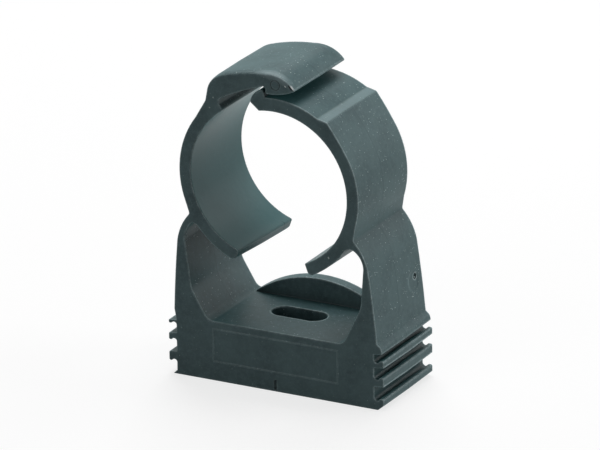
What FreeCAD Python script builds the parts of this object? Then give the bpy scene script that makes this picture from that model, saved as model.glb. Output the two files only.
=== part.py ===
import FreeCAD, Part
import math, os

# One injection-moulded clip for a plastic or copper pipe, screwed to a wall through its foot.
# X runs across the clip, Y along the pipe and Z away from the wall. The origin is the middle
# of the foot's underside. All sizes are in millimetres, taken at the parting plane Y = 0.

# Overall
clip_depth = 18.9
draft_degrees = 0.5
edge_bevel = 0.1

# Ring that grips the pipe
pipe_diameter = 28.0
pipe_slack = 0.25
axis_height = 37.4
ring_wall = 2.3

# The left half stands a little open while the latch is closed
open_out = 1.95
open_up = 1.0
leg_lean = 1.2

# Free lower ends of the two ring halves, as angles below level
right_tongue_angle = 65.2
left_tongue_angle = 71.0
left_tongue_skew = 1.5
tongue_end_lean = 20.0
tongue_end_round = 0.9
tongue_bend_start = 36.0
tongue_bend_inside = 0.2
tongue_bend_outside = 0.12

# Latch strip on the right half, measured from the pipe's axis
strip_rise = 0.2
strip_tip_angle = 101.0
tip_bevel_x = -4.38
tip_bevel_z = 15.35
tip_nose_x = -3.45
tip_nose_z = 17.22
barb_x = -1.75
barb_height = 1.3
barb_lean = 0.3
ridge_rise = 0.9
ridge_angle = 52.7
ridge_step_angle = 59.0
ridge_foot_angle = 33.0

# Hook on the left half, measured from the pipe's axis
latch_gap = 0.1
hook_crest_x = -1.4
hook_crest_z = 21.12
hook_front_x = 2.05
hook_front_z = 20.6
hook_tip_x = 4.6
hook_tip_z = 18.52
hook_belly_x = 1.65
hook_belly_z = 17.45
nose_bottom_z = 17.25
mouth_roof_x = -6.15
mouth_roof_z = 16.95
mouth_top_z = 18.6
mouth_end_x = -10.4
mouth_end_top = 14.95
mouth_end_bottom = 13.95
lip_angle = 122.5
hook_back_x = -7.0
hook_back_z = 20.45
hook_corner_x = -12.3
hook_corner_z = 18.85
hook_side_x = -13.15
hook_side_z = 14.35
hook_foot_angle = 143.0
hook_corner_round = 4.0
hook_edge_round = 0.45
hook_round_reach = 1.3
hook_soft_clearance = 0.6

# Legs between the ring and the foot
leg_foot_x = 19.95
leg_foot_z = 12.1
leg_middle_x = 19.1
leg_middle_z = 19.6
shoulder_x = 18.3
shoulder_z = 25.2
shoulder_top_x = 17.35
shoulder_top_z = 27.8
crease_x = 15.5
crease_z = 30.35
crease_top_angle = 16.5
crevice_z = 28.2
neck_wall = 1.65
right_keyhole_x = 17.25
left_keyhole_x = 16.7
keyhole_z = 25.4
right_bend_x = 16.7
right_bend_z = 18.3
left_bend_x = 16.08
left_bend_z = 16.3
leg_bend_round = 4.0
leg_root_x = 13.25
floor_fillet = 1.8

# Foot
floor_height = 11.1
foot_wall_x = 19.3
toe_reach = 0.85
left_wall_x = 19.65
left_toe_reach = 0.7

# Ribs along the sides, which hook into the ribs of the next clip
rib_tip_x = 21.2
rib_lip_width = 0.85
left_lip_width = 0.6
rib_round = 0.34
rib_root_round = 0.6
left_root_round = 0.42
rib_taper = 0.25
right_rib_under = (10.25, 7.8, 4.3)
right_groove_floor = (8.7, 5.6, 1.7)
right_lip_height = 0.45
left_lip_height = 0.28
link_gap_above = 0.2
link_gap_below = 0.55
top_rib_drop = 0.7
top_rib_inset = 0.45
top_rib_round = 1.3

# Upstand at the back of the floor
upstand_width = 25.2
upstand_rise = 4.3
upstand_thickness = 2.4

# Screw slot and the hollows under the floor
slot_x = -0.35
slot_y = 0.4
slot_width = 4.85
slot_length = 10.6
boss_wall = 2.0
floor_thickness = 2.4
foot_wall = 2.2
cross_rib_x = 11.2
cross_rib_thickness = 1.6

# Small marks: bead around the front panel, middle tick, ejector ring and gate
panel_half_width = 12.2
panel_low = 3.6
panel_high = 9.65
bead_width = 0.4
bead_height = 0.1
bead_crest = 0.1
tick_width = 0.5
tick_low = 0.3
tick_high = 2.15
tick_depth = 0.25
ejector_x = 0.67
ejector_z = 56.55
ejector_radius = 0.95
ejector_line = 0.16
ejector_depth = 0.1
gate_y = 6.8
gate_z = 19.15
gate_radius = 0.55
gate_depth = 0.3
gate_stub_radius = 0.24
gate_stub_height = 0.22
dish_y = 6.05
dish_z = 18.45
dish_radius = 2.05
dish_rim = 0.5
dish_depth = 0.08

origin = FreeCAD.Vector(0, 0, 0)
along_pipe = FreeCAD.Vector(0, 1, 0)
upward = FreeCAD.Vector(0, 0, 1)
bore_radius = pipe_diameter / 2 + pipe_slack
ring_radius = bore_radius + ring_wall
strip_radius = ring_radius + strip_rise
half_depth = clip_depth / 2
draft_inset = half_depth * math.tan(math.radians(draft_degrees))


def at(x, z):
    return FreeCAD.Vector(x, 0, z)


right_axis = at(0, axis_height)
left_axis = at(-open_out, axis_height + open_up)


def from_axis(x, z):
    return right_axis + at(x, z)


def on_circle(centre, radius, degrees):
    angle = math.radians(degrees)
    return centre + at(radius * math.cos(angle), radius * math.sin(angle))


# Where a straight line from a point meets a circle ahead of it
def reach_circle(start, direction, centre, radius):
    offset = start - centre
    along = offset.dot(direction)
    beyond = offset.Length ** 2 - radius ** 2
    return start + direction * (math.sqrt(along ** 2 - beyond) - along)


def line(start, end):
    return Part.LineSegment(start, end).toShape()


def arc(start, middle, end):
    return Part.Arc(start, middle, end).toShape()


def ring_arc(centre, radius, first, last):
    middle = on_circle(centre, radius, (first + last) / 2)
    return arc(on_circle(centre, radius, first), middle, on_circle(centre, radius, last))


# A thin plate of one outline, for joining outlines together
def slab(*edges):
    return Part.Face(Part.Wire(list(edges))).extrude(along_pipe)


def plate(*points):
    return Part.Face(Part.makePolygon(list(points) + [points[0]])).extrude(along_pipe)


def outline_of(solid):
    flat = [face for face in solid.Faces if abs(face.CenterOfMass.y) < 1e-6]
    return max(flat, key=lambda face: face.Area).OuterWire


def start_of(edge):
    return edge.valueAt(edge.FirstParameter if edge.Orientation == "Forward" else edge.LastParameter)


def end_of(edge):
    return edge.valueAt(edge.LastParameter if edge.Orientation == "Forward" else edge.FirstParameter)


def share_circle(first, second):
    curves = [first.Curve, second.Curve]
    if not all(isinstance(curve, Part.Circle) for curve in curves):
        return False
    apart = (curves[0].Center - curves[1].Center).Length
    return apart < 1e-4 and abs(curves[0].Radius - curves[1].Radius) < 1e-4


# Turn neighbouring arcs of one circle into a single arc
def join_arcs(wire):
    edges = Part.__sortEdges__(wire.Edges)
    while share_circle(edges[-1], edges[0]):
        edges.append(edges.pop(0))
    joined = [edges[0]]
    for edge in edges[1:]:
        if share_circle(joined[-1], edge):
            joined[-1] = arc(start_of(joined[-1]), start_of(edge), end_of(edge))
        else:
            joined.append(edge)
    return Part.Wire(joined)


# Round the outline's corners that lie nearest to the given points
def soften(wire, corners):
    edges = Part.__sortEdges__(wire.Edges)
    plane = Part.Plane(origin, along_pipe)
    for point, radius in corners:
        ends = [end_of(edge) for edge in edges]
        before = min(range(len(edges)), key=lambda i: (ends[i] - point).Length)
        after = (before + 1) % len(edges)
        fillet = Part.ChFi2d.FilletAlgo(edges[before], edges[after], plane)
        if not fillet.perform(radius):
            raise ValueError("no room for a %s mm corner at %s" % (radius, ends[before]))
        rounding, edges[before], edges[after] = fillet.result(ends[before])
        edges.insert(before + 1, rounding)
    return Part.__sortEdges__(edges)


# Corners of a tongue's sloping end; the right tongue is bent a little inwards
def tongue_end(side, centre, tongue_angle):
    lean = math.radians(tongue_end_lean)
    outward = at(side * math.sin(lean), -math.cos(lean))
    if side > 0:
        inner = on_circle(centre, bore_radius - tongue_bend_inside, -tongue_angle)
        return inner, reach_circle(inner, outward, centre, ring_radius - tongue_bend_outside)
    inner = on_circle(centre, bore_radius, 180 + tongue_angle)
    return inner, reach_circle(inner, outward, centre, ring_radius)


# The gripping part of one half, from its tongue up to the latch
def right_half_ring():
    inner, outer = tongue_end(1, right_axis, right_tongue_angle)
    middle_angle = -(right_tongue_angle + tongue_bend_start) / 2
    bend_inner = on_circle(right_axis, bore_radius, -tongue_bend_start)
    bend_outer = on_circle(right_axis, ring_radius, -tongue_bend_start)
    middle_inner = on_circle(right_axis, bore_radius - tongue_bend_inside * 0.7, middle_angle)
    middle_outer = on_circle(right_axis, ring_radius - tongue_bend_outside * 0.5, middle_angle)
    inner_top = on_circle(right_axis, bore_radius, ridge_foot_angle)
    outer_top = on_circle(right_axis, ring_radius, ridge_foot_angle)
    return slab(
        arc(inner, middle_inner, bend_inner),
        ring_arc(right_axis, bore_radius, -tongue_bend_start, ridge_foot_angle),
        line(inner_top, outer_top),
        ring_arc(right_axis, ring_radius, ridge_foot_angle, -tongue_bend_start),
        arc(bend_outer, middle_outer, outer),
        line(outer, inner))


def left_half_ring(tongue_angle):
    inner, outer = tongue_end(-1, left_axis, tongue_angle)
    outer_bottom = 360 + math.degrees(math.atan2(outer.z - left_axis.z, outer.x - left_axis.x))
    inner_top = on_circle(left_axis, bore_radius, hook_foot_angle)
    outer_top = on_circle(left_axis, ring_radius, hook_foot_angle)
    return slab(
        ring_arc(left_axis, bore_radius, 180 + tongue_angle, hook_foot_angle),
        line(inner_top, outer_top),
        ring_arc(left_axis, ring_radius, hook_foot_angle, outer_bottom),
        line(outer, inner))


# A point of one leg: the left leg leans outwards, from nothing at the floor
def leg_point(side, x, z):
    lean = leg_lean * max(z - floor_height, 0) / (crease_z - floor_height) if side < 0 else 0
    return at(side * (x + lean), z)


def leg_bend(side):
    if side > 0:
        return leg_point(side, right_bend_x, right_bend_z)
    return leg_point(side, left_bend_x, left_bend_z)


def leg(side, centre):
    ring_top_angle = -crease_top_angle if side > 0 else 180 + crease_top_angle
    inside_foot = floor_height - floor_thickness
    rise = crevice_z - centre.z
    crevice = centre + at(side * math.sqrt((ring_radius - 0.02) ** 2 - rise ** 2), rise)
    inside_low = crevice + (centre - crevice).normalize() * ring_wall / 2
    inside_top = on_circle(centre, ring_radius - ring_wall / 2, ring_top_angle)
    ring_top = on_circle(centre, ring_radius, ring_top_angle)
    root_low = at(side * leg_root_x, inside_foot)
    root = at(side * leg_root_x, floor_height)
    wall_x = foot_wall_x if side > 0 else left_wall_x
    wall_low = at(side * wall_x, inside_foot)
    foot_outer = at(side * wall_x, right_rib_under[0])
    foot_top = leg_point(side, leg_foot_x, leg_foot_z)
    shoulder = leg_point(side, shoulder_x, shoulder_z)
    crease = leg_point(side, crease_x, crease_z)
    neck = leg_point(side, crease_x - 0.5, crease_z - neck_wall)
    keyhole_x = right_keyhole_x if side > 0 else left_keyhole_x
    keyhole = leg_point(side, keyhole_x, keyhole_z)
    bend = leg_bend(side)
    return slab(
        line(root_low, wall_low),
        line(wall_low, foot_outer),
        line(foot_outer, foot_top),
        arc(foot_top, leg_point(side, leg_middle_x, leg_middle_z), shoulder),
        arc(shoulder, leg_point(side, shoulder_top_x, shoulder_top_z), crease),
        line(crease, ring_top),
        line(ring_top, inside_top),
        line(inside_top, inside_low),
        line(inside_low, crevice),
        arc(crevice, leg_point(side, crease_x - 1.15, crease_z - neck_wall - 0.15), neck),
        arc(neck, leg_point(side, keyhole_x - 0.35, keyhole_z + 1.5), keyhole),
        line(keyhole, bend),
        line(bend, root),
        line(root, root_low))


# The right half's latch strip, with the ridge that the hook stops at and the barb at its tip
def strip_points():
    root_x = barb_x + barb_lean
    crest_z = math.sqrt(strip_radius ** 2 - barb_x ** 2) + barb_height
    return (on_circle(right_axis, bore_radius, strip_tip_angle), from_axis(tip_bevel_x, tip_bevel_z),
            from_axis(barb_x, crest_z), math.degrees(math.acos(root_x / strip_radius)),
            on_circle(right_axis, strip_radius, ridge_step_angle),
            on_circle(right_axis, ring_radius + ridge_rise, ridge_angle))


def latch_strip():
    tip, bevel, crest, root_angle, step, ridge = strip_points()
    flank_angle = (ridge_angle + ridge_foot_angle) / 2
    flank = on_circle(right_axis, ring_radius + ridge_rise * 0.3, flank_angle)
    ridge_foot = on_circle(right_axis, ring_radius, ridge_foot_angle)
    return slab(
        ring_arc(right_axis, bore_radius, ridge_foot_angle, strip_tip_angle),
        line(tip, bevel),
        arc(bevel, from_axis(tip_nose_x, tip_nose_z), crest),
        line(crest, on_circle(right_axis, strip_radius, root_angle)),
        ring_arc(right_axis, strip_radius, root_angle, ridge_step_angle),
        line(step, ridge),
        arc(ridge, flank, ridge_foot),
        line(ridge_foot, on_circle(right_axis, bore_radius, ridge_foot_angle)))


# The left half's hook, which arches over the strip and drops its nose behind the barb
def hook_points():
    nose_x = barb_x + barb_lean + latch_gap
    return (on_circle(left_axis, bore_radius, lip_angle), from_axis(mouth_end_x, mouth_end_bottom),
            from_axis(mouth_end_x, mouth_end_top), from_axis(nose_x, mouth_top_z),
            from_axis(nose_x, nose_bottom_z), from_axis(hook_tip_x, hook_tip_z),
            from_axis(hook_corner_x, hook_corner_z), from_axis(hook_side_x, hook_side_z))


def hook():
    lip, mouth_bottom, mouth_top, roof_end, nose, tip, corner, side = hook_points()
    crest = from_axis(hook_crest_x, hook_crest_z)
    foot = on_circle(left_axis, ring_radius, hook_foot_angle)
    return slab(
        line(lip, mouth_bottom),
        line(mouth_bottom, mouth_top),
        arc(mouth_top, from_axis(mouth_roof_x, mouth_roof_z), roof_end),
        line(roof_end, nose),
        arc(nose, from_axis(hook_belly_x, hook_belly_z), tip),
        arc(tip, from_axis(hook_front_x, hook_front_z), crest),
        arc(crest, from_axis(hook_back_x, hook_back_z), corner),
        line(corner, side),
        line(side, foot),
        line(foot, on_circle(left_axis, bore_radius, hook_foot_angle)),
        ring_arc(left_axis, bore_radius, hook_foot_angle, lip_angle))


# One side rib: flat on one side, with a lip along the tip of the other
def rib(side, flat, recess, lip):
    root_x = side * (foot_wall_x - 1)
    tip_x = side * rib_tip_x
    lip_width = rib_lip_width if side > 0 else left_lip_width
    lip_x = side * (rib_tip_x - lip_width)
    slope_x = side * (rib_tip_x - lip_width - rib_round)
    toward_root = rib_taper if flat > recess else -rib_taper
    return plate(at(root_x, flat + toward_root), at(tip_x, flat), at(tip_x, lip), at(lip_x, lip),
                 at(slope_x, recess), at(root_x, recess))


# The foot with the ribs of both sides
def foot_and_ribs():
    inside = foot_wall_x - 1
    top_under = right_rib_under[0]
    low_floor = right_groove_floor[-1]
    low_lip = low_floor + right_lip_height
    top_rib = plate(at(inside, leg_foot_z), at(leg_foot_x, leg_foot_z),
                    at(rib_tip_x - top_rib_inset, leg_foot_z - top_rib_drop),
                    at(rib_tip_x - top_rib_inset / 2, top_under), at(inside, top_under - rib_taper))
    bottom_rib = plate(at(inside, 0), at(foot_wall_x + toe_reach, 0), at(rib_tip_x, rib_lip_width),
                       at(rib_tip_x, low_lip), at(rib_tip_x - rib_lip_width, low_lip),
                       at(rib_tip_x - rib_lip_width - rib_round, low_floor), at(inside, low_floor))
    left_toe = plate(at(-inside, 0), at(-left_wall_x - left_toe_reach, 0),
                     at(-left_wall_x, left_toe_reach), at(-inside, left_toe_reach))
    pieces = [top_rib, bottom_rib, left_toe]
    for under, floor in zip(right_rib_under[1:], right_groove_floor[:-1]):
        pieces.append(rib(1, under, floor, floor + right_lip_height))
    for under, floor in zip(right_rib_under, right_groove_floor):
        lip = floor + link_gap_below
        pieces.append(rib(-1, under - link_gap_above, lip + left_lip_height, lip))
    foot = plate(at(-left_wall_x, 0), at(foot_wall_x, 0), at(foot_wall_x, floor_height),
                 at(-left_wall_x, floor_height))
    return [foot] + pieces


def rib_corners():
    lip_x = rib_tip_x - rib_lip_width
    corners = [(at(rib_tip_x - top_rib_inset, leg_foot_z - top_rib_drop), top_rib_round),
               (at(rib_tip_x - top_rib_inset / 2, right_rib_under[0]), rib_round)]
    for under, floor in zip(right_rib_under, right_groove_floor):
        right_lip = floor + right_lip_height
        left_lip = floor + link_gap_below
        corners += [
            (at(rib_tip_x, right_lip), rib_round),
            (at(lip_x, right_lip), rib_round),
            (at(foot_wall_x, floor), rib_root_round),
            (at(-rib_tip_x, under - link_gap_above), rib_round),
            (at(-rib_tip_x, left_lip), rib_round),
            (at(left_lip_width - rib_tip_x, left_lip), rib_round),
            (at(-left_wall_x, left_lip + left_lip_height), left_root_round)]
    return corners


def leg_corners():
    corners = []
    for side in (1, -1):
        corners += [
            (leg_point(side, crease_x, crease_z), 0.5),
            (leg_bend(side), leg_bend_round),
            (at(side * leg_root_x, floor_height), floor_fillet)]
    return corners


def tongue_end_corners(tongue_angle):
    right_inner, right_outer = tongue_end(1, right_axis, right_tongue_angle)
    left_inner, left_outer = tongue_end(-1, left_axis, tongue_angle)
    return [(right_outer, tongue_end_round), (left_inner, rib_round), (left_outer, tongue_end_round)]


def latch_corners():
    tip, bevel, crest, root_angle, step, ridge = strip_points()
    lip, mouth_bottom, mouth_top, roof_end, nose, hook_tip, corner, side = hook_points()
    return [(tip, 0.34), (bevel, 0.5), (crest, 0.34), (step, 0.4), (ridge, 0.4),
            (lip, 0.34), (mouth_bottom, 0.3), (mouth_top, 0.4), (roof_end, 0.4), (nose, 0.5),
            (hook_tip, 0.34), (corner, hook_corner_round), (side, 1.5)]


# The whole outline at one depth: the left tongue's end runs a little askew from front to back
def profile(depth_share):
    tongue_angle = left_tongue_angle + left_tongue_skew * depth_share
    slabs = foot_and_ribs() + [
        right_half_ring(), left_half_ring(tongue_angle), latch_strip(), hook(),
        leg(1, right_axis), leg(-1, left_axis)]
    merged = slabs[0].fuse(slabs[1:]).removeSplitter()
    corners = tongue_end_corners(tongue_angle) + latch_corners() + leg_corners() + rib_corners()
    return soften(join_arcs(outline_of(merged)), corners)


# Unit direction into the material, square to an edge that runs anticlockwise around it
def inward(edge, share):
    forward = edge.Orientation == "Forward"
    share = share if forward else 1 - share
    direction = edge.tangentAt(edge.FirstParameter * (1 - share) + edge.LastParameter * share)
    return at(-direction.z, direction.x) * (1 if forward else -1)


def middle_of(edge):
    return edge.valueAt((edge.FirstParameter + edge.LastParameter) / 2)


# The bore and the underside have no draft, so that the pipe and the wall seat squarely
def wall_draft(edge):
    points = [start_of(edge), middle_of(edge), end_of(edge)]
    if max(point.z for point in points) < 0.001:
        return 0
    for axis in (right_axis, left_axis):
        reach = [(point - axis).Length for point in points]
        if min(reach) > bore_radius - tongue_bend_inside - 0.001 and max(reach) < bore_radius + 0.001:
            return 0
    return draft_inset


# Where a corner goes when the edges before and after it move inwards by their own distances
def moved_corner(corner, first, second, first_distance, second_distance):
    turn = first.dot(second)
    if first_distance == second_distance or turn > 0.99:
        return corner + (first + second) * (min(first_distance, second_distance) / (1 + turn))
    along_first = (first_distance - turn * second_distance) / (1 - turn ** 2)
    along_second = (second_distance - turn * first_distance) / (1 - turn ** 2)
    return corner + first * along_first + second * along_second


# How far an edge has drawn back at a depth under the face: the hook's top edges are soft, the
# underside's are sharp and all others have a fine bevel
def drawn_back(corner, depth):
    soft_above = axis_height + max(hook_tip_z, mouth_top_z) + hook_soft_clearance
    if corner.z < 0.001:
        return 0
    drop, reach = (hook_edge_round, hook_round_reach) if corner.z > soft_above else (edge_bevel, edge_bevel)
    share = max(1 - depth / reach, 0)
    return drop * (1 - math.sqrt(1 - share ** 2))


# The same outline, edge for edge, drawn into the material at some depth under one face
def inset(edges, drafts, depth, side):
    reach = half_depth - depth
    points = []
    for i, edge in enumerate(edges):
        corner = start_of(edge)
        back = drawn_back(corner, depth)
        distances = [draft * reach / half_depth + back for draft in (drafts[i - 1], drafts[i])]
        points.append(moved_corner(corner, inward(edges[i - 1], 1), inward(edge, 0), *distances))
    moved = []
    for edge, start, end in zip(edges, points, points[1:] + points[:1]):
        if isinstance(edge.Curve, Part.Circle):
            at_start = (start - start_of(edge)).dot(inward(edge, 0))
            at_end = (end - end_of(edge)).dot(inward(edge, 1))
            middle = middle_of(edge) + inward(edge, 0.5) * (at_start + at_end) / 2
            moved.append(arc(start, middle, end))
        else:
            moved.append(line(start, end))
        moved[-1].translate(along_pipe * side * reach)
    return moved


# Walls between two outlines, edge for edge
def walls(near, far):
    faces = []
    for first, second in zip(near, far):
        at_start = start_of(second) - start_of(first)
        at_end = end_of(second) - end_of(first)
        square = at_start.cross(end_of(first) - start_of(first)).normalize()
        if (at_start - at_end).Length < 1e-7 and abs(at_start.y) > at_start.Length - 1e-7:
            faces.append(first.extrude(at_start))
        elif isinstance(first.Curve, Part.Circle) or abs(square.dot(at_end)) > 1e-8:
            faces.append(Part.makeRuledSurface(first, second))
        else:
            corners = [start_of(first), end_of(first), end_of(second), start_of(second)]
            faces.append(Part.Face(Part.makePolygon(corners + corners[:1])))
    return faces


# The outline shrinks from the parting plane to both faces, and its edges there are rounded in steps
def moulded():
    parting = profile(0)
    parting = inset(parting, [0] * len(parting), half_depth, 1)
    faces = []
    for side in (1, -1):
        edges = profile(side)
        drafts = [wall_draft(edge) for edge in edges]
        previous = parting
        for depth in (hook_round_reach, hook_round_reach * 0.3, edge_bevel, 0):
            level = inset(edges, drafts, depth, side)
            faces += walls(previous, level)
            previous = level
        faces.append(Part.Face(Part.Wire(previous)))
    shell = Part.makeShell(faces)
    shell.sewShape()
    return Part.makeSolid(shell).removeSplitter()


# A block given by its sizes, centred on X and Y
def block(width, depth, low, high, x=0, y=0):
    corner = FreeCAD.Vector(x - width / 2, y - depth / 2, low)
    return Part.makeBox(width, depth, high - low, corner)


# A round-ended bar standing on its end where the screw slot is
def obround(length, width, low, high):
    straight = (length - width) / 2
    ends = [Part.makeCylinder(width / 2, high - low, FreeCAD.Vector(slot_x + x, slot_y, low), upward)
            for x in (straight, -straight)]
    return block(straight * 2, width, low, high, slot_x, slot_y).fuse(ends).removeSplitter()


# Wall that stands at the back edge of the floor, with a bowed top
def upstand():
    low = floor_height - 0.5
    left = at(-upstand_width / 2, floor_height)
    right = at(upstand_width / 2, floor_height)
    bow = Part.Wire([
        line(at(-upstand_width / 2, low), at(upstand_width / 2, low)),
        line(at(upstand_width / 2, low), right),
        arc(right, at(0, floor_height + upstand_rise), left),
        line(left, at(-upstand_width / 2, low))])
    bow.translate(along_pipe * (half_depth - upstand_thickness))
    wall = Part.Face(bow).extrude(along_pipe * upstand_thickness)
    tops = [edge for edge in wall.Edges if isinstance(edge.Curve, Part.Circle)]
    return wall.makeChamfer(edge_bevel, tops)


# Hollows that open downwards, around the slot's boss and the two cross ribs
def hollows():
    roof = floor_height - floor_thickness
    cavity = block((foot_wall_x - foot_wall) * 2, clip_depth - foot_wall * 2, 0, roof)
    boss = obround(slot_length + boss_wall * 2, slot_width + boss_wall * 2, 0, roof)
    cross_ribs = [block(cross_rib_thickness, clip_depth, 0, roof, side * cross_rib_x) for side in (1, -1)]
    return cavity.cut([boss] + cross_ribs)


def panel_frame(grow, y):
    wide = panel_half_width + grow
    low = panel_low - grow
    high = panel_high + grow
    frame = Part.makePolygon([at(-wide, low), at(wide, low), at(wide, high), at(-wide, high), at(-wide, low)])
    frame.translate(along_pipe * y)
    return frame


# Fine bead around the panel on the front of the foot
def panel_bead():
    face_y = -half_depth
    crest_y = face_y - bead_height
    outer = [panel_frame(bead_width / 2, face_y), panel_frame(bead_crest / 2, crest_y)]
    inner = [panel_frame(-bead_width / 2, face_y), panel_frame(-bead_crest / 2, crest_y)]
    return Part.makeLoft(outer, True, True).cut(Part.makeLoft(inner, True, True))


def middle_tick():
    return block(tick_width, tick_depth * 2, tick_low, tick_high, 0, -half_depth)


# Ring that the ejector pin leaves on the hook's front
def ejector_mark():
    centre = FreeCAD.Vector(ejector_x, -half_depth - 1, ejector_z)
    pin = Part.makeCylinder(ejector_radius, 1 + ejector_depth, centre, along_pipe)
    return pin.cut(Part.makeCylinder(ejector_radius - ejector_line, 3, centre, along_pipe))


# A point on the right leg's outer face, and the direction square to the face there
def leg_face(y, z):
    side = arc(at(leg_foot_x, leg_foot_z), at(leg_middle_x, leg_middle_z), at(shoulder_x, shoulder_z)).Curve
    rise = (z - side.Center.z) / side.Radius
    outward = at(math.sqrt(1 - rise ** 2), rise)
    x = side.Center.x + side.Radius * outward.x - abs(y) * math.tan(math.radians(draft_degrees))
    return FreeCAD.Vector(x, y, z), outward


# Shallow dish around the gate
def gate_dish():
    surface, outward = leg_face(dish_y, dish_z)
    low = surface - outward * dish_depth
    return Part.makeCone(dish_radius - dish_rim, dish_radius + dish_rim, dish_depth * 2, low, outward)


# Pit that the gate leaves in the dish, and the torn stub in it
def gate_pit():
    surface, outward = leg_face(gate_y, gate_z)
    return Part.makeCylinder(gate_radius, 2, surface - outward * gate_depth, outward)


def gate_stub():
    surface, outward = leg_face(gate_y - 0.1, gate_z - 0.15)
    start = surface - outward * (gate_depth + 0.2)
    return Part.makeCone(gate_stub_radius, gate_stub_radius * 0.6, gate_stub_height + 0.2, start, outward)


os.makedirs("parts", exist_ok=True)
clip = moulded()
slot = obround(slot_length, slot_width, -1, floor_height + 1)
clip = clip.cut([hollows(), slot, middle_tick(), ejector_mark(), gate_dish(), gate_pit()])
clip = clip.fuse([upstand(), panel_bead(), gate_stub()])
print("clip", clip.isValid(), clip.ShapeType, len(clip.Solids), "solid", len(clip.Faces), "faces")
print("volume", round(clip.Volume, 1), clip.BoundBox)
clip.Solids[0].exportStep("parts/pipe_clip.step")
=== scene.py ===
import bpy
import math
from mathutils import Matrix, Vector

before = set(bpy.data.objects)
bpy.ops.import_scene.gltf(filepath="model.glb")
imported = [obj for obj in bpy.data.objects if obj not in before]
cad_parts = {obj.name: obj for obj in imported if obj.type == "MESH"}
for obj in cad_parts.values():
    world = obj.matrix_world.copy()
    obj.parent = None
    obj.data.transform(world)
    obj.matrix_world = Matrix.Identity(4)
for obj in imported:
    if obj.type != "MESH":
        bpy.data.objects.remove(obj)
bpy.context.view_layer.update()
millimetre = 0.001
print("frame: loaded")


def toLinear(hexColour):
    channels = [int(hexColour[i:i + 2], 16) / 255 for i in (0, 2, 4)]
    return [c / 12.92 if c <= 0.04045 else ((c + 0.055) / 1.055) ** 2.4 for c in channels] + [1.0]


# Adds one node: settings are its properties, values are for its sockets, by name or number, and
# links come from the sockets of other nodes
def addNode(material, kind, settings=None, values=None, links=None):
    node = material.node_tree.nodes.new("ShaderNode" + kind)
    for name, value in (settings or {}).items():
        setattr(node, name, value)
    for name, value in (values or {}).items():
        node.inputs[name].default_value = value
    for name, socket in (links or {}).items():
        material.node_tree.links.new(socket, node.inputs[name])
    return node


def newMaterial(name):
    material = bpy.data.materials.new(name)
    material.use_nodes = True
    material.node_tree.nodes.clear()
    return material


# Black polyamide as it leaves a spark-eroded steel mould: satin, a little cloudy and faintly green,
# with a fine grain, and a smoother bore where the core was polished. Lying loose in a box with others
# has given it worn pale edges, small pale specks and dust, most of them on its outer faces and its top.
# The pale edges also carry a painted highlight, and its recesses carry painted shade
clipFinish = {
    "body": "475a5c",
    "cloudDark": "334447",
    "cloudPale": "52666a",
    "cloudSize": 7.0,        # mm, flow of the plastic
    "mottleSize": 0.9,       # mm
    "mottleShare": 0.8,
    "boreCentres": [(0, 0, 37.4), (-1.95, 0, 38.4)],   # mm, right half and left half
    "boreRadius": 14.25,     # mm
    "boreTone": "3a6466",
    "boreShare": 0.7,
    "speck": "b9cac8",
    "speckSpacing": 0.5,     # mm
    "speckSize": 0.11,       # mm, the largest
    "speckFront": 0.25,      # share of the specks and parting line that the flat front and back show
    # Pale edge colour: partly wear, partly a painted highlight along the edges
    "edgePaleAndHighlight": "c0d4d6",
    "edgeRubAndHighlightShare": 0.85,
    "edgeFront": 0.12,       # share of the pale edge and its painted highlight that the flat front and back keep
    "edgeReach": 0.4,        # mm
    "edgeRound": 0.4,        # mm; wider than the real edge, so that it shows
    # Painted shade in the recesses
    "recessPaintedShade": "141c1d",
    "recessShadeShare": 0.95,
    "recessShadeReach": 3.0,      # mm
    "partingLine": "1c2a2c",
    "lineWidth": 0.14,       # mm
    "lineDrift": 0.5,        # mm
    "lineWave": 4.0,         # mm
    "grainSize": 0.25,       # mm; the real grain is about 0.03 mm and would not show
    "grainDepth": 0.014,     # mm
    "grainOutside": 0.6,
    "grainInBore": 0.15,
    "roughness": 0.42,
    "roughnessSpread": 0.06,
    "borePolish": 0.1,
    "ior": 1.53,
    "reflection": 0.18,
    "bloom": 0.3,
    "bloomRoughness": 0.5,
    "bloomTint": "80dade",
}
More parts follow.
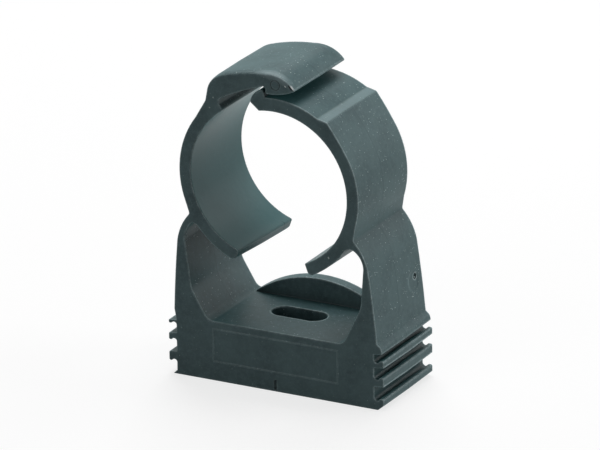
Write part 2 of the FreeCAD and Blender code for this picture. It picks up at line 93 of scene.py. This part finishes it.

# Chance damage, painted highlights and painted shade: place and size in mm, turn about Y in degrees, and
# core, which is how far out the full share of the colour reaches, from 0 for a soft patch to 0.7 for a
# crisp nick
clipMarks = [
    # Painted highlight on the hook's rounding
    {"at": (-0.8, -8.8, 58.35), "size": (7.0, 2.8, 2.0), "turn": 13,
     "colour": "b4c8cc", "share": 0.4, "core": 0},
    {"at": (2.11, -8.8, 57.35), "size": (4.2, 2.4, 1.5), "turn": 32,
     "colour": "b4c8cc", "share": 0.4, "core": 0},
    # Nick in the hook's corner: painted shade inside and a painted highlight on its lip
    {"at": (3.58, -9.3, 56.49), "size": (1.3, 1.2, 0.36), "turn": 48,
     "colour": "050808", "share": 1, "core": 0.7},
    {"at": (3.93, -9.3, 56.45), "size": (1.1, 1.2, 0.17), "turn": 47,
     "colour": "f4f8f7", "share": 1, "core": 0.7},
    # Dents in the right tongue and in the left half's front
    {"at": (10.67, -9.45, 26.58), "size": (0.28, 0.4, 0.5), "turn": -20,
     "colour": "a9b8b6", "share": 0.8, "core": 0.7},
    {"at": (-11.49, -9.45, 52.51), "size": (0.3, 0.4, 0.3), "turn": 0,
     "colour": "a9b8b6", "share": 0.6, "core": 0.7},
    {"at": (-12.21, -9.45, 50.57), "size": (0.3, 0.4, 0.24), "turn": 0,
     "colour": "a9b8b6", "share": 0.6, "core": 0.7},
    # Nick in the left tongue's end
    {"at": (-6.65, 6.8, 24.3), "size": (2.2, 0.24, 2.2), "turn": 0,
     "colour": "12191a", "share": 0.9, "core": 0.7},
    # Painted highlight along the slope of the ridge, across its whole width
    {"at": (9.55, 0, 51.43), "size": (2.1, 60, 0.5), "turn": 8.6,
     "colour": "889c9f", "share": 0.42, "core": 0.7},
    # Dent beside the ejector ring
    {"at": (2.62, -9.45, 56.6), "size": (0.4, 0.4, 0.22), "turn": 40,
     "colour": "dfe8e6", "share": 0.9, "core": 0.7},
]


# 1 on the bore of either half, 0 elsewhere
def boreMask(material, values, inMillimetres, sideways):
    fromAxis = []
    for centre in values["boreCentres"]:
        centred = addNode(material, "VectorMath", {"operation": "MULTIPLY_ADD"},
                          {1: (1, 0, 1), 2: [-c for c in centre]}, {0: inMillimetres})
        distance = addNode(material, "VectorMath", {"operation": "LENGTH"}, links={0: centred.outputs[0]})
        fromAxis.append(distance.outputs["Value"])
    nearest = addNode(material, "Math", {"operation": "MINIMUM"},
                      links={0: fromAxis[0], 1: fromAxis[1]})
    within = addNode(material, "MapRange",
                     values={"From Min": values["boreRadius"] + 0.5,
                             "From Max": values["boreRadius"] + 0.2},
                     links={"Value": nearest.outputs[0]})
    inward = addNode(material, "Math", {"operation": "LESS_THAN"}, {1: 0.5}, {0: sideways})
    bore = addNode(material, "Math", {"operation": "MULTIPLY"},
                   links={0: within.outputs["Result"], 1: inward.outputs[0]})
    return bore.outputs[0]


# 1 on the outer faces and the top, a share of it on the flat front and back, 0 in the bore
def openFaces(material, flatShare, sideways, bore):
    outer = addNode(material, "MapRange", values={"From Min": 0.95, "From Max": 0.6, "To Min": flatShare},
                    links={"Value": sideways})
    exposed = addNode(material, "Math", {"operation": "SUBTRACT", "use_clamp": True},
                      links={0: outer.outputs["Result"], 1: bore})
    return exposed.outputs[0]


# Cloudy plastic with a fine mottle, greener in the bore
def cloudyPlastic(material, values, clouds, mottle, bore):
    cloudSpread = addNode(material, "MapRange", values={"From Min": 0.3, "From Max": 0.6},
                          links={"Value": clouds})
    tone = addNode(material, "Mix", {"data_type": "RGBA"},
                   {"A": toLinear(values["cloudDark"]), "B": toLinear(values["body"])},
                   {"Factor": cloudSpread.outputs["Result"]})
    mottleSpread = addNode(material, "MapRange",
                           values={"From Min": 0.45, "From Max": 0.7, "To Max": values["mottleShare"]},
                           links={"Value": mottle})
    mottled = addNode(material, "Mix", {"data_type": "RGBA"}, {"B": toLinear(values["cloudPale"])},
                      {"A": tone.outputs["Result"], "Factor": mottleSpread.outputs["Result"]})
    boreShare = addNode(material, "Math", {"operation": "MULTIPLY"}, {1: values["boreShare"]}, {0: bore})
    toned = addNode(material, "Mix", {"data_type": "RGBA"}, {"B": toLinear(values["boreTone"])},
                    {"A": mottled.outputs["Result"], "Factor": boreShare.outputs[0]})
    return toned.outputs["Result"]


# Pale specks that differ in size and strength
def withSpecks(material, values, colour, place, sideways, bore):
    exposed = openFaces(material, values["speckFront"], sideways, bore)
    specks = addNode(material, "TexVoronoi", values={"Scale": 1 / (values["speckSpacing"] * millimetre)},
                     links={"Vector": place})
    chance = addNode(material, "SeparateColor", links={0: specks.outputs["Color"]})
    radius = addNode(material, "Math", {"operation": "MULTIPLY"},
                     {1: values["speckSize"] / values["speckSpacing"]}, {0: chance.outputs[0]})
    inside = addNode(material, "Math", {"operation": "LESS_THAN"},
                     links={0: specks.outputs["Distance"], 1: radius.outputs[0]})
    strength = addNode(material, "Math", {"operation": "MULTIPLY"},
                       links={0: inside.outputs[0], 1: chance.outputs[1]})
    amount = addNode(material, "Math", {"operation": "MULTIPLY"},
                     links={0: strength.outputs[0], 1: exposed})
    speckled = addNode(material, "Mix", {"data_type": "RGBA"}, {"B": toLinear(values["speck"])},
                       {"A": colour, "Factor": amount.outputs[0]})
    return speckled.outputs["Result"]


# Edges painted pale, partly as wear and partly as a painted highlight: rays sent into the plastic meet the
# next face only beside an outer edge
def withRubbedAndHighlightedEdges(material, values, colour, mottle, sideways, bore):
    exposed = openFaces(material, values["edgeFront"], sideways, bore)
    rim = addNode(material, "AmbientOcclusion", {"samples": 8, "inside": True, "only_local": True},
                  {"Distance": values["edgeReach"] * millimetre})
    beside = addNode(material, "MapRange",
                     values={"From Min": 0.96, "From Max": 0.72, "To Max": values["edgeRubAndHighlightShare"]},
                     links={"Value": rim.outputs["AO"]})
    uneven = addNode(material, "MapRange", values={"From Min": 0.35, "From Max": 0.6, "To Min": 0.3},
                     links={"Value": mottle})
    reachable = addNode(material, "Math", {"operation": "MULTIPLY"},
                        links={0: beside.outputs["Result"], 1: exposed})
    amount = addNode(material, "Math", {"operation": "MULTIPLY"},
                     links={0: reachable.outputs[0], 1: uneven.outputs["Result"]})
    rubbedAndHighlighted = addNode(material, "Mix", {"data_type": "RGBA"}, {"B": toLinear(values["edgePaleAndHighlight"])},
                     {"A": colour, "Factor": amount.outputs[0]})
    return rubbedAndHighlighted.outputs["Result"]


# Painted shade: recesses are painted darker wherever ambient occlusion finds them shut in
def withPaintedRecessShade(material, values, colour):
    recess = addNode(material, "AmbientOcclusion", {"samples": 8, "only_local": True},
                     {"Distance": values["recessShadeReach"] * millimetre})
    amount = addNode(material, "MapRange",
                     values={"From Min": 0.85, "From Max": 0.25, "To Max": values["recessShadeShare"]},
                     links={"Value": recess.outputs["AO"]})
    shaded = addNode(material, "Mix", {"data_type": "RGBA"}, {"B": toLinear(values["recessPaintedShade"])},
                     {"A": colour, "Factor": amount.outputs["Result"]})
    return shaded.outputs["Result"]


# The mould's parting line, which wanders a little down the middle of the outer faces
def withPartingLine(material, values, colour, place, inMillimetres, sideways, bore):
    exposed = openFaces(material, values["speckFront"], sideways, bore)
    wander = addNode(material, "TexNoise",
                     values={"Scale": 1 / (values["lineWave"] * millimetre), "Detail": 1.0},
                     links={"Vector": place})
    along = addNode(material, "SeparateXYZ", links={0: inMillimetres})
    drift = addNode(material, "Math", {"operation": "MULTIPLY_ADD"},
                    {1: values["lineDrift"], 2: -values["lineDrift"] / 2}, {0: wander.outputs["Fac"]})
    apart = addNode(material, "Math", {"operation": "SUBTRACT"},
                    links={0: along.outputs["Y"], 1: drift.outputs[0]})
    onLine = addNode(material, "Math", {"operation": "COMPARE"}, {1: 0.0, 2: values["lineWidth"] / 2},
                     {0: apart.outputs[0]})
    outside = addNode(material, "Math", {"operation": "MULTIPLY"},
                      links={0: onLine.outputs[0], 1: exposed})
    amount = addNode(material, "Math", {"operation": "MULTIPLY"},
                     links={0: outside.outputs[0], 1: wander.outputs["Fac"]})
    lined = addNode(material, "Mix", {"data_type": "RGBA"}, {"B": toLinear(values["partingLine"])},
                    {"A": colour, "Factor": amount.outputs[0]})
    return lined.outputs["Result"]


def withMark(material, mark, colour, inMillimetres):
    around = addNode(material, "Mapping", {"vector_type": "TEXTURE"},
                     {"Location": mark["at"], "Rotation": (0, math.radians(mark["turn"]), 0),
                      "Scale": [side / 2 for side in mark["size"]]},
                     {"Vector": inMillimetres})
    away = addNode(material, "VectorMath", {"operation": "LENGTH"}, links={0: around.outputs[0]})
    amount = addNode(material, "MapRange",
                     values={"From Min": 1.1, "From Max": mark["core"], "To Max": mark["share"]},
                     links={"Value": away.outputs["Value"]})
    marked = addNode(material, "Mix", {"data_type": "RGBA"}, {"B": toLinear(mark["colour"])},
                     {"A": colour, "Factor": amount.outputs["Result"]})
    return marked.outputs["Result"]


# Fine grain over softly rounded edges, fainter in the bore
def grainRelief(material, values, place, bore):
    edge = addNode(material, "Bevel", {"samples": 6}, {"Radius": values["edgeRound"] * millimetre})
    grain = addNode(material, "TexNoise",
                    values={"Scale": 1 / (values["grainSize"] * millimetre), "Detail": 2.0,
                            "Roughness": 0.6},
                    links={"Vector": place})
    strength = addNode(material, "MapRange",
                       values={"To Min": values["grainOutside"], "To Max": values["grainInBore"]},
                       links={"Value": bore})
    relief = addNode(material, "Bump", values={"Distance": values["grainDepth"] * millimetre},
                     links={"Height": grain.outputs["Fac"], "Strength": strength.outputs["Result"],
                            "Normal": edge.outputs["Normal"]})
    return relief.outputs["Normal"]


# Satin that varies with the clouds and is smoother in the bore
def satinRoughness(material, values, clouds, bore):
    satin = addNode(material, "MapRange",
                    values={"To Min": values["roughness"] - values["roughnessSpread"],
                            "To Max": values["roughness"] + values["roughnessSpread"]},
                    links={"Value": clouds})
    polish = addNode(material, "Math", {"operation": "MULTIPLY"}, {1: values["borePolish"]}, {0: bore})
    roughness = addNode(material, "Math", {"operation": "SUBTRACT"},
                        links={0: satin.outputs["Result"], 1: polish.outputs[0]})
    return roughness.outputs[0]


def makeClipMaterial(values, marks):
    material = newMaterial("satin moulded black polyamide")
    coordinates = addNode(material, "TexCoord")
    place = coordinates.outputs["Object"]
    scaled = addNode(material, "VectorMath", {"operation": "SCALE"}, {"Scale": 1 / millimetre}, {0: place})
    inMillimetres = scaled.outputs[0]
    facing = addNode(material, "SeparateXYZ", links={0: coordinates.outputs["Normal"]})
    flatness = addNode(material, "Math", {"operation": "ABSOLUTE"}, links={0: facing.outputs["Y"]})
    sideways = flatness.outputs[0]
    cloudNoise = addNode(material, "TexNoise",
                         values={"Scale": 1 / (values["cloudSize"] * millimetre), "Detail": 3.0,
                                 "Roughness": 0.55},
                         links={"Vector": place})
    clouds = cloudNoise.outputs["Fac"]
    mottleNoise = addNode(material, "TexNoise",
                          values={"Scale": 1 / (values["mottleSize"] * millimetre), "Detail": 5.0,
                                  "Roughness": 0.85},
                          links={"Vector": place})
    mottle = mottleNoise.outputs["Fac"]

    bore = boreMask(material, values, inMillimetres, sideways)
    colour = cloudyPlastic(material, values, clouds, mottle, bore)
    colour = withSpecks(material, values, colour, place, sideways, bore)
    colour = withRubbedAndHighlightedEdges(material, values, colour, mottle, sideways, bore)
    colour = withPaintedRecessShade(material, values, colour)
    colour = withPartingLine(material, values, colour, place, inMillimetres, sideways, bore)
    for mark in marks:
        colour = withMark(material, mark, colour, inMillimetres)

    surface = addNode(material, "BsdfPrincipled",
                      values={"IOR": values["ior"], "Specular IOR Level": values["reflection"],
                              "Sheen Weight": values["bloom"], "Sheen Roughness": values["bloomRoughness"],
                              "Sheen Tint": toLinear(values["bloomTint"])},
                      links={"Base Color": colour,
                             "Roughness": satinRoughness(material, values, clouds, bore),
                             "Normal": grainRelief(material, values, place, bore)})
    addNode(material, "OutputMaterial", links={"Surface": surface.outputs["BSDF"]})
    return material


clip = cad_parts["pipe_clip"]
clipMaterial = makeClipMaterial(clipFinish, clipMarks)
for slot in clip.material_slots:
    slot.material = clipMaterial
print("clip: material set")


# Where the photographer stood; location in metres, the rest are directions
cameraPlace = {
    "location": (0.546744, -1.030545, 0.457155),
    "right": (0.88535, 0.46480, -0.01144),
    "up": (-0.15106, 0.31083, 0.93839),
    "back": (0.43971, -0.82907, 0.34540),
    "lens": 428.5,           # mm
    "sensor": 36.0,          # mm
    "nearest": 0.1,
    "farthest": 20.0,
}

cameraData = bpy.data.cameras.new("camera")
cameraData.lens = cameraPlace["lens"]
cameraData.sensor_width = cameraPlace["sensor"]
cameraData.clip_start = cameraPlace["nearest"]
cameraData.clip_end = cameraPlace["farthest"]
camera = bpy.data.objects.new("camera", cameraData)
turn = Matrix([cameraPlace["right"], cameraPlace["up"], cameraPlace["back"]]).transposed()
camera.matrix_world = Matrix.Translation(cameraPlace["location"]) @ turn.to_4x4()
bpy.context.scene.collection.objects.link(camera)
bpy.context.scene.camera = camera
print("camera: set")


# 1 for what the eye sees, straight or in a reflection, 0 for light on its way round
def seenByEye(material):
    path = addNode(material, "LightPath")
    mirrored = addNode(material, "Math", {"operation": "MAXIMUM"},
                       links={0: path.outputs["Is Glossy Ray"], 1: path.outputs["Is Transmission Ray"]})
    seen = addNode(material, "Math", {"operation": "MAXIMUM"},
                   links={0: path.outputs["Is Camera Ray"], 1: mirrored.outputs[0]})
    return seen.outputs[0]


# Matt pale floor: white to the eye and in reflections, grey to the light that bounces off it, so
# that it keeps the shadow
floorFinish = {
    "bounce": "b4b4b4",
    "shadowed": "969696",
    "glow": 0.74,
    "size": 4.0,             # metres
}


def makeFloorMaterial(values):
    material = newMaterial("matt white paper")
    bounce = addNode(material, "BsdfDiffuse", values={"Color": toLinear(values["bounce"])})
    paper = addNode(material, "BsdfDiffuse", values={"Color": toLinear(values["shadowed"])})
    glow = addNode(material, "Emission", values={"Strength": values["glow"]})
    bright = addNode(material, "AddShader", links={0: paper.outputs[0], 1: glow.outputs[0]})
    mixed = addNode(material, "MixShader",
                    links={0: seenByEye(material), 1: bounce.outputs[0], 2: bright.outputs[0]})
    addNode(material, "OutputMaterial", links={"Surface": mixed.outputs[0]})
    return material


bpy.ops.object.select_all(action="DESELECT")
bpy.ops.mesh.primitive_plane_add(size=floorFinish["size"], location=(0, 0, 0))
floor = bpy.context.object
floor.name = "floor"
floor.data.materials.append(makeFloorMaterial(floorFinish))
print("floor: set")


# Soft boxes all round; turn and height in degrees
softBoxes = [
    {"name": "top light", "turn": 0, "height": 88, "watts": 2.0},
    {"name": "high back light", "turn": 118, "height": 70, "watts": 2.3},
    {"name": "back light", "turn": 118, "height": 50, "watts": 2.1},
    {"name": "right light", "turn": 28, "height": 15, "watts": 2.4},
    {"name": "right back light", "turn": 73, "height": 15, "watts": 0.9},
    {"name": "front light", "turn": -104, "height": 18, "watts": 1.3},
]
boxDistance = 0.9
boxWidth = 0.5
middle = Vector((0, 0, 0.03))    # metres, half way up the clip


def addSoftBox(box):
    turned = math.radians(box["turn"])
    raised = math.radians(box["height"])
    level = Vector((math.cos(turned), math.sin(turned), 0))
    outward = level * math.cos(raised) + Vector((0, 0, math.sin(raised)))
    lampData = bpy.data.lights.new(box["name"], "AREA")
    lampData.energy = box["watts"]
    lampData.size = boxWidth
    lamp = bpy.data.objects.new(box["name"], lampData)
    lamp.location = middle + outward * boxDistance
    lamp.rotation_mode = "QUATERNION"
    lamp.rotation_quaternion = (-outward).to_track_quat("-Z", "Y")
    bpy.context.scene.collection.objects.link(lamp)


for box in softBoxes:
    addSoftBox(box)
print("soft boxes: set")


# White surround for the eye and for reflections; hardly any light of its own
surroundFinish = {"light": 0.03, "seen": 1.0}

world = bpy.data.worlds.new("studio")
world.use_nodes = True
world.node_tree.nodes.clear()
strength = addNode(world, "Mix", {"data_type": "FLOAT"},
                   {"A": surroundFinish["light"], "B": surroundFinish["seen"]},
                   {"Factor": seenByEye(world)})
surround = addNode(world, "Background", links={"Strength": strength.outputs["Result"]})
addNode(world, "OutputWorld", links={"Surface": surround.outputs[0]})
bpy.context.scene.world = world
print("surround: set")

bpy.context.scene.view_settings.view_transform = "Standard"
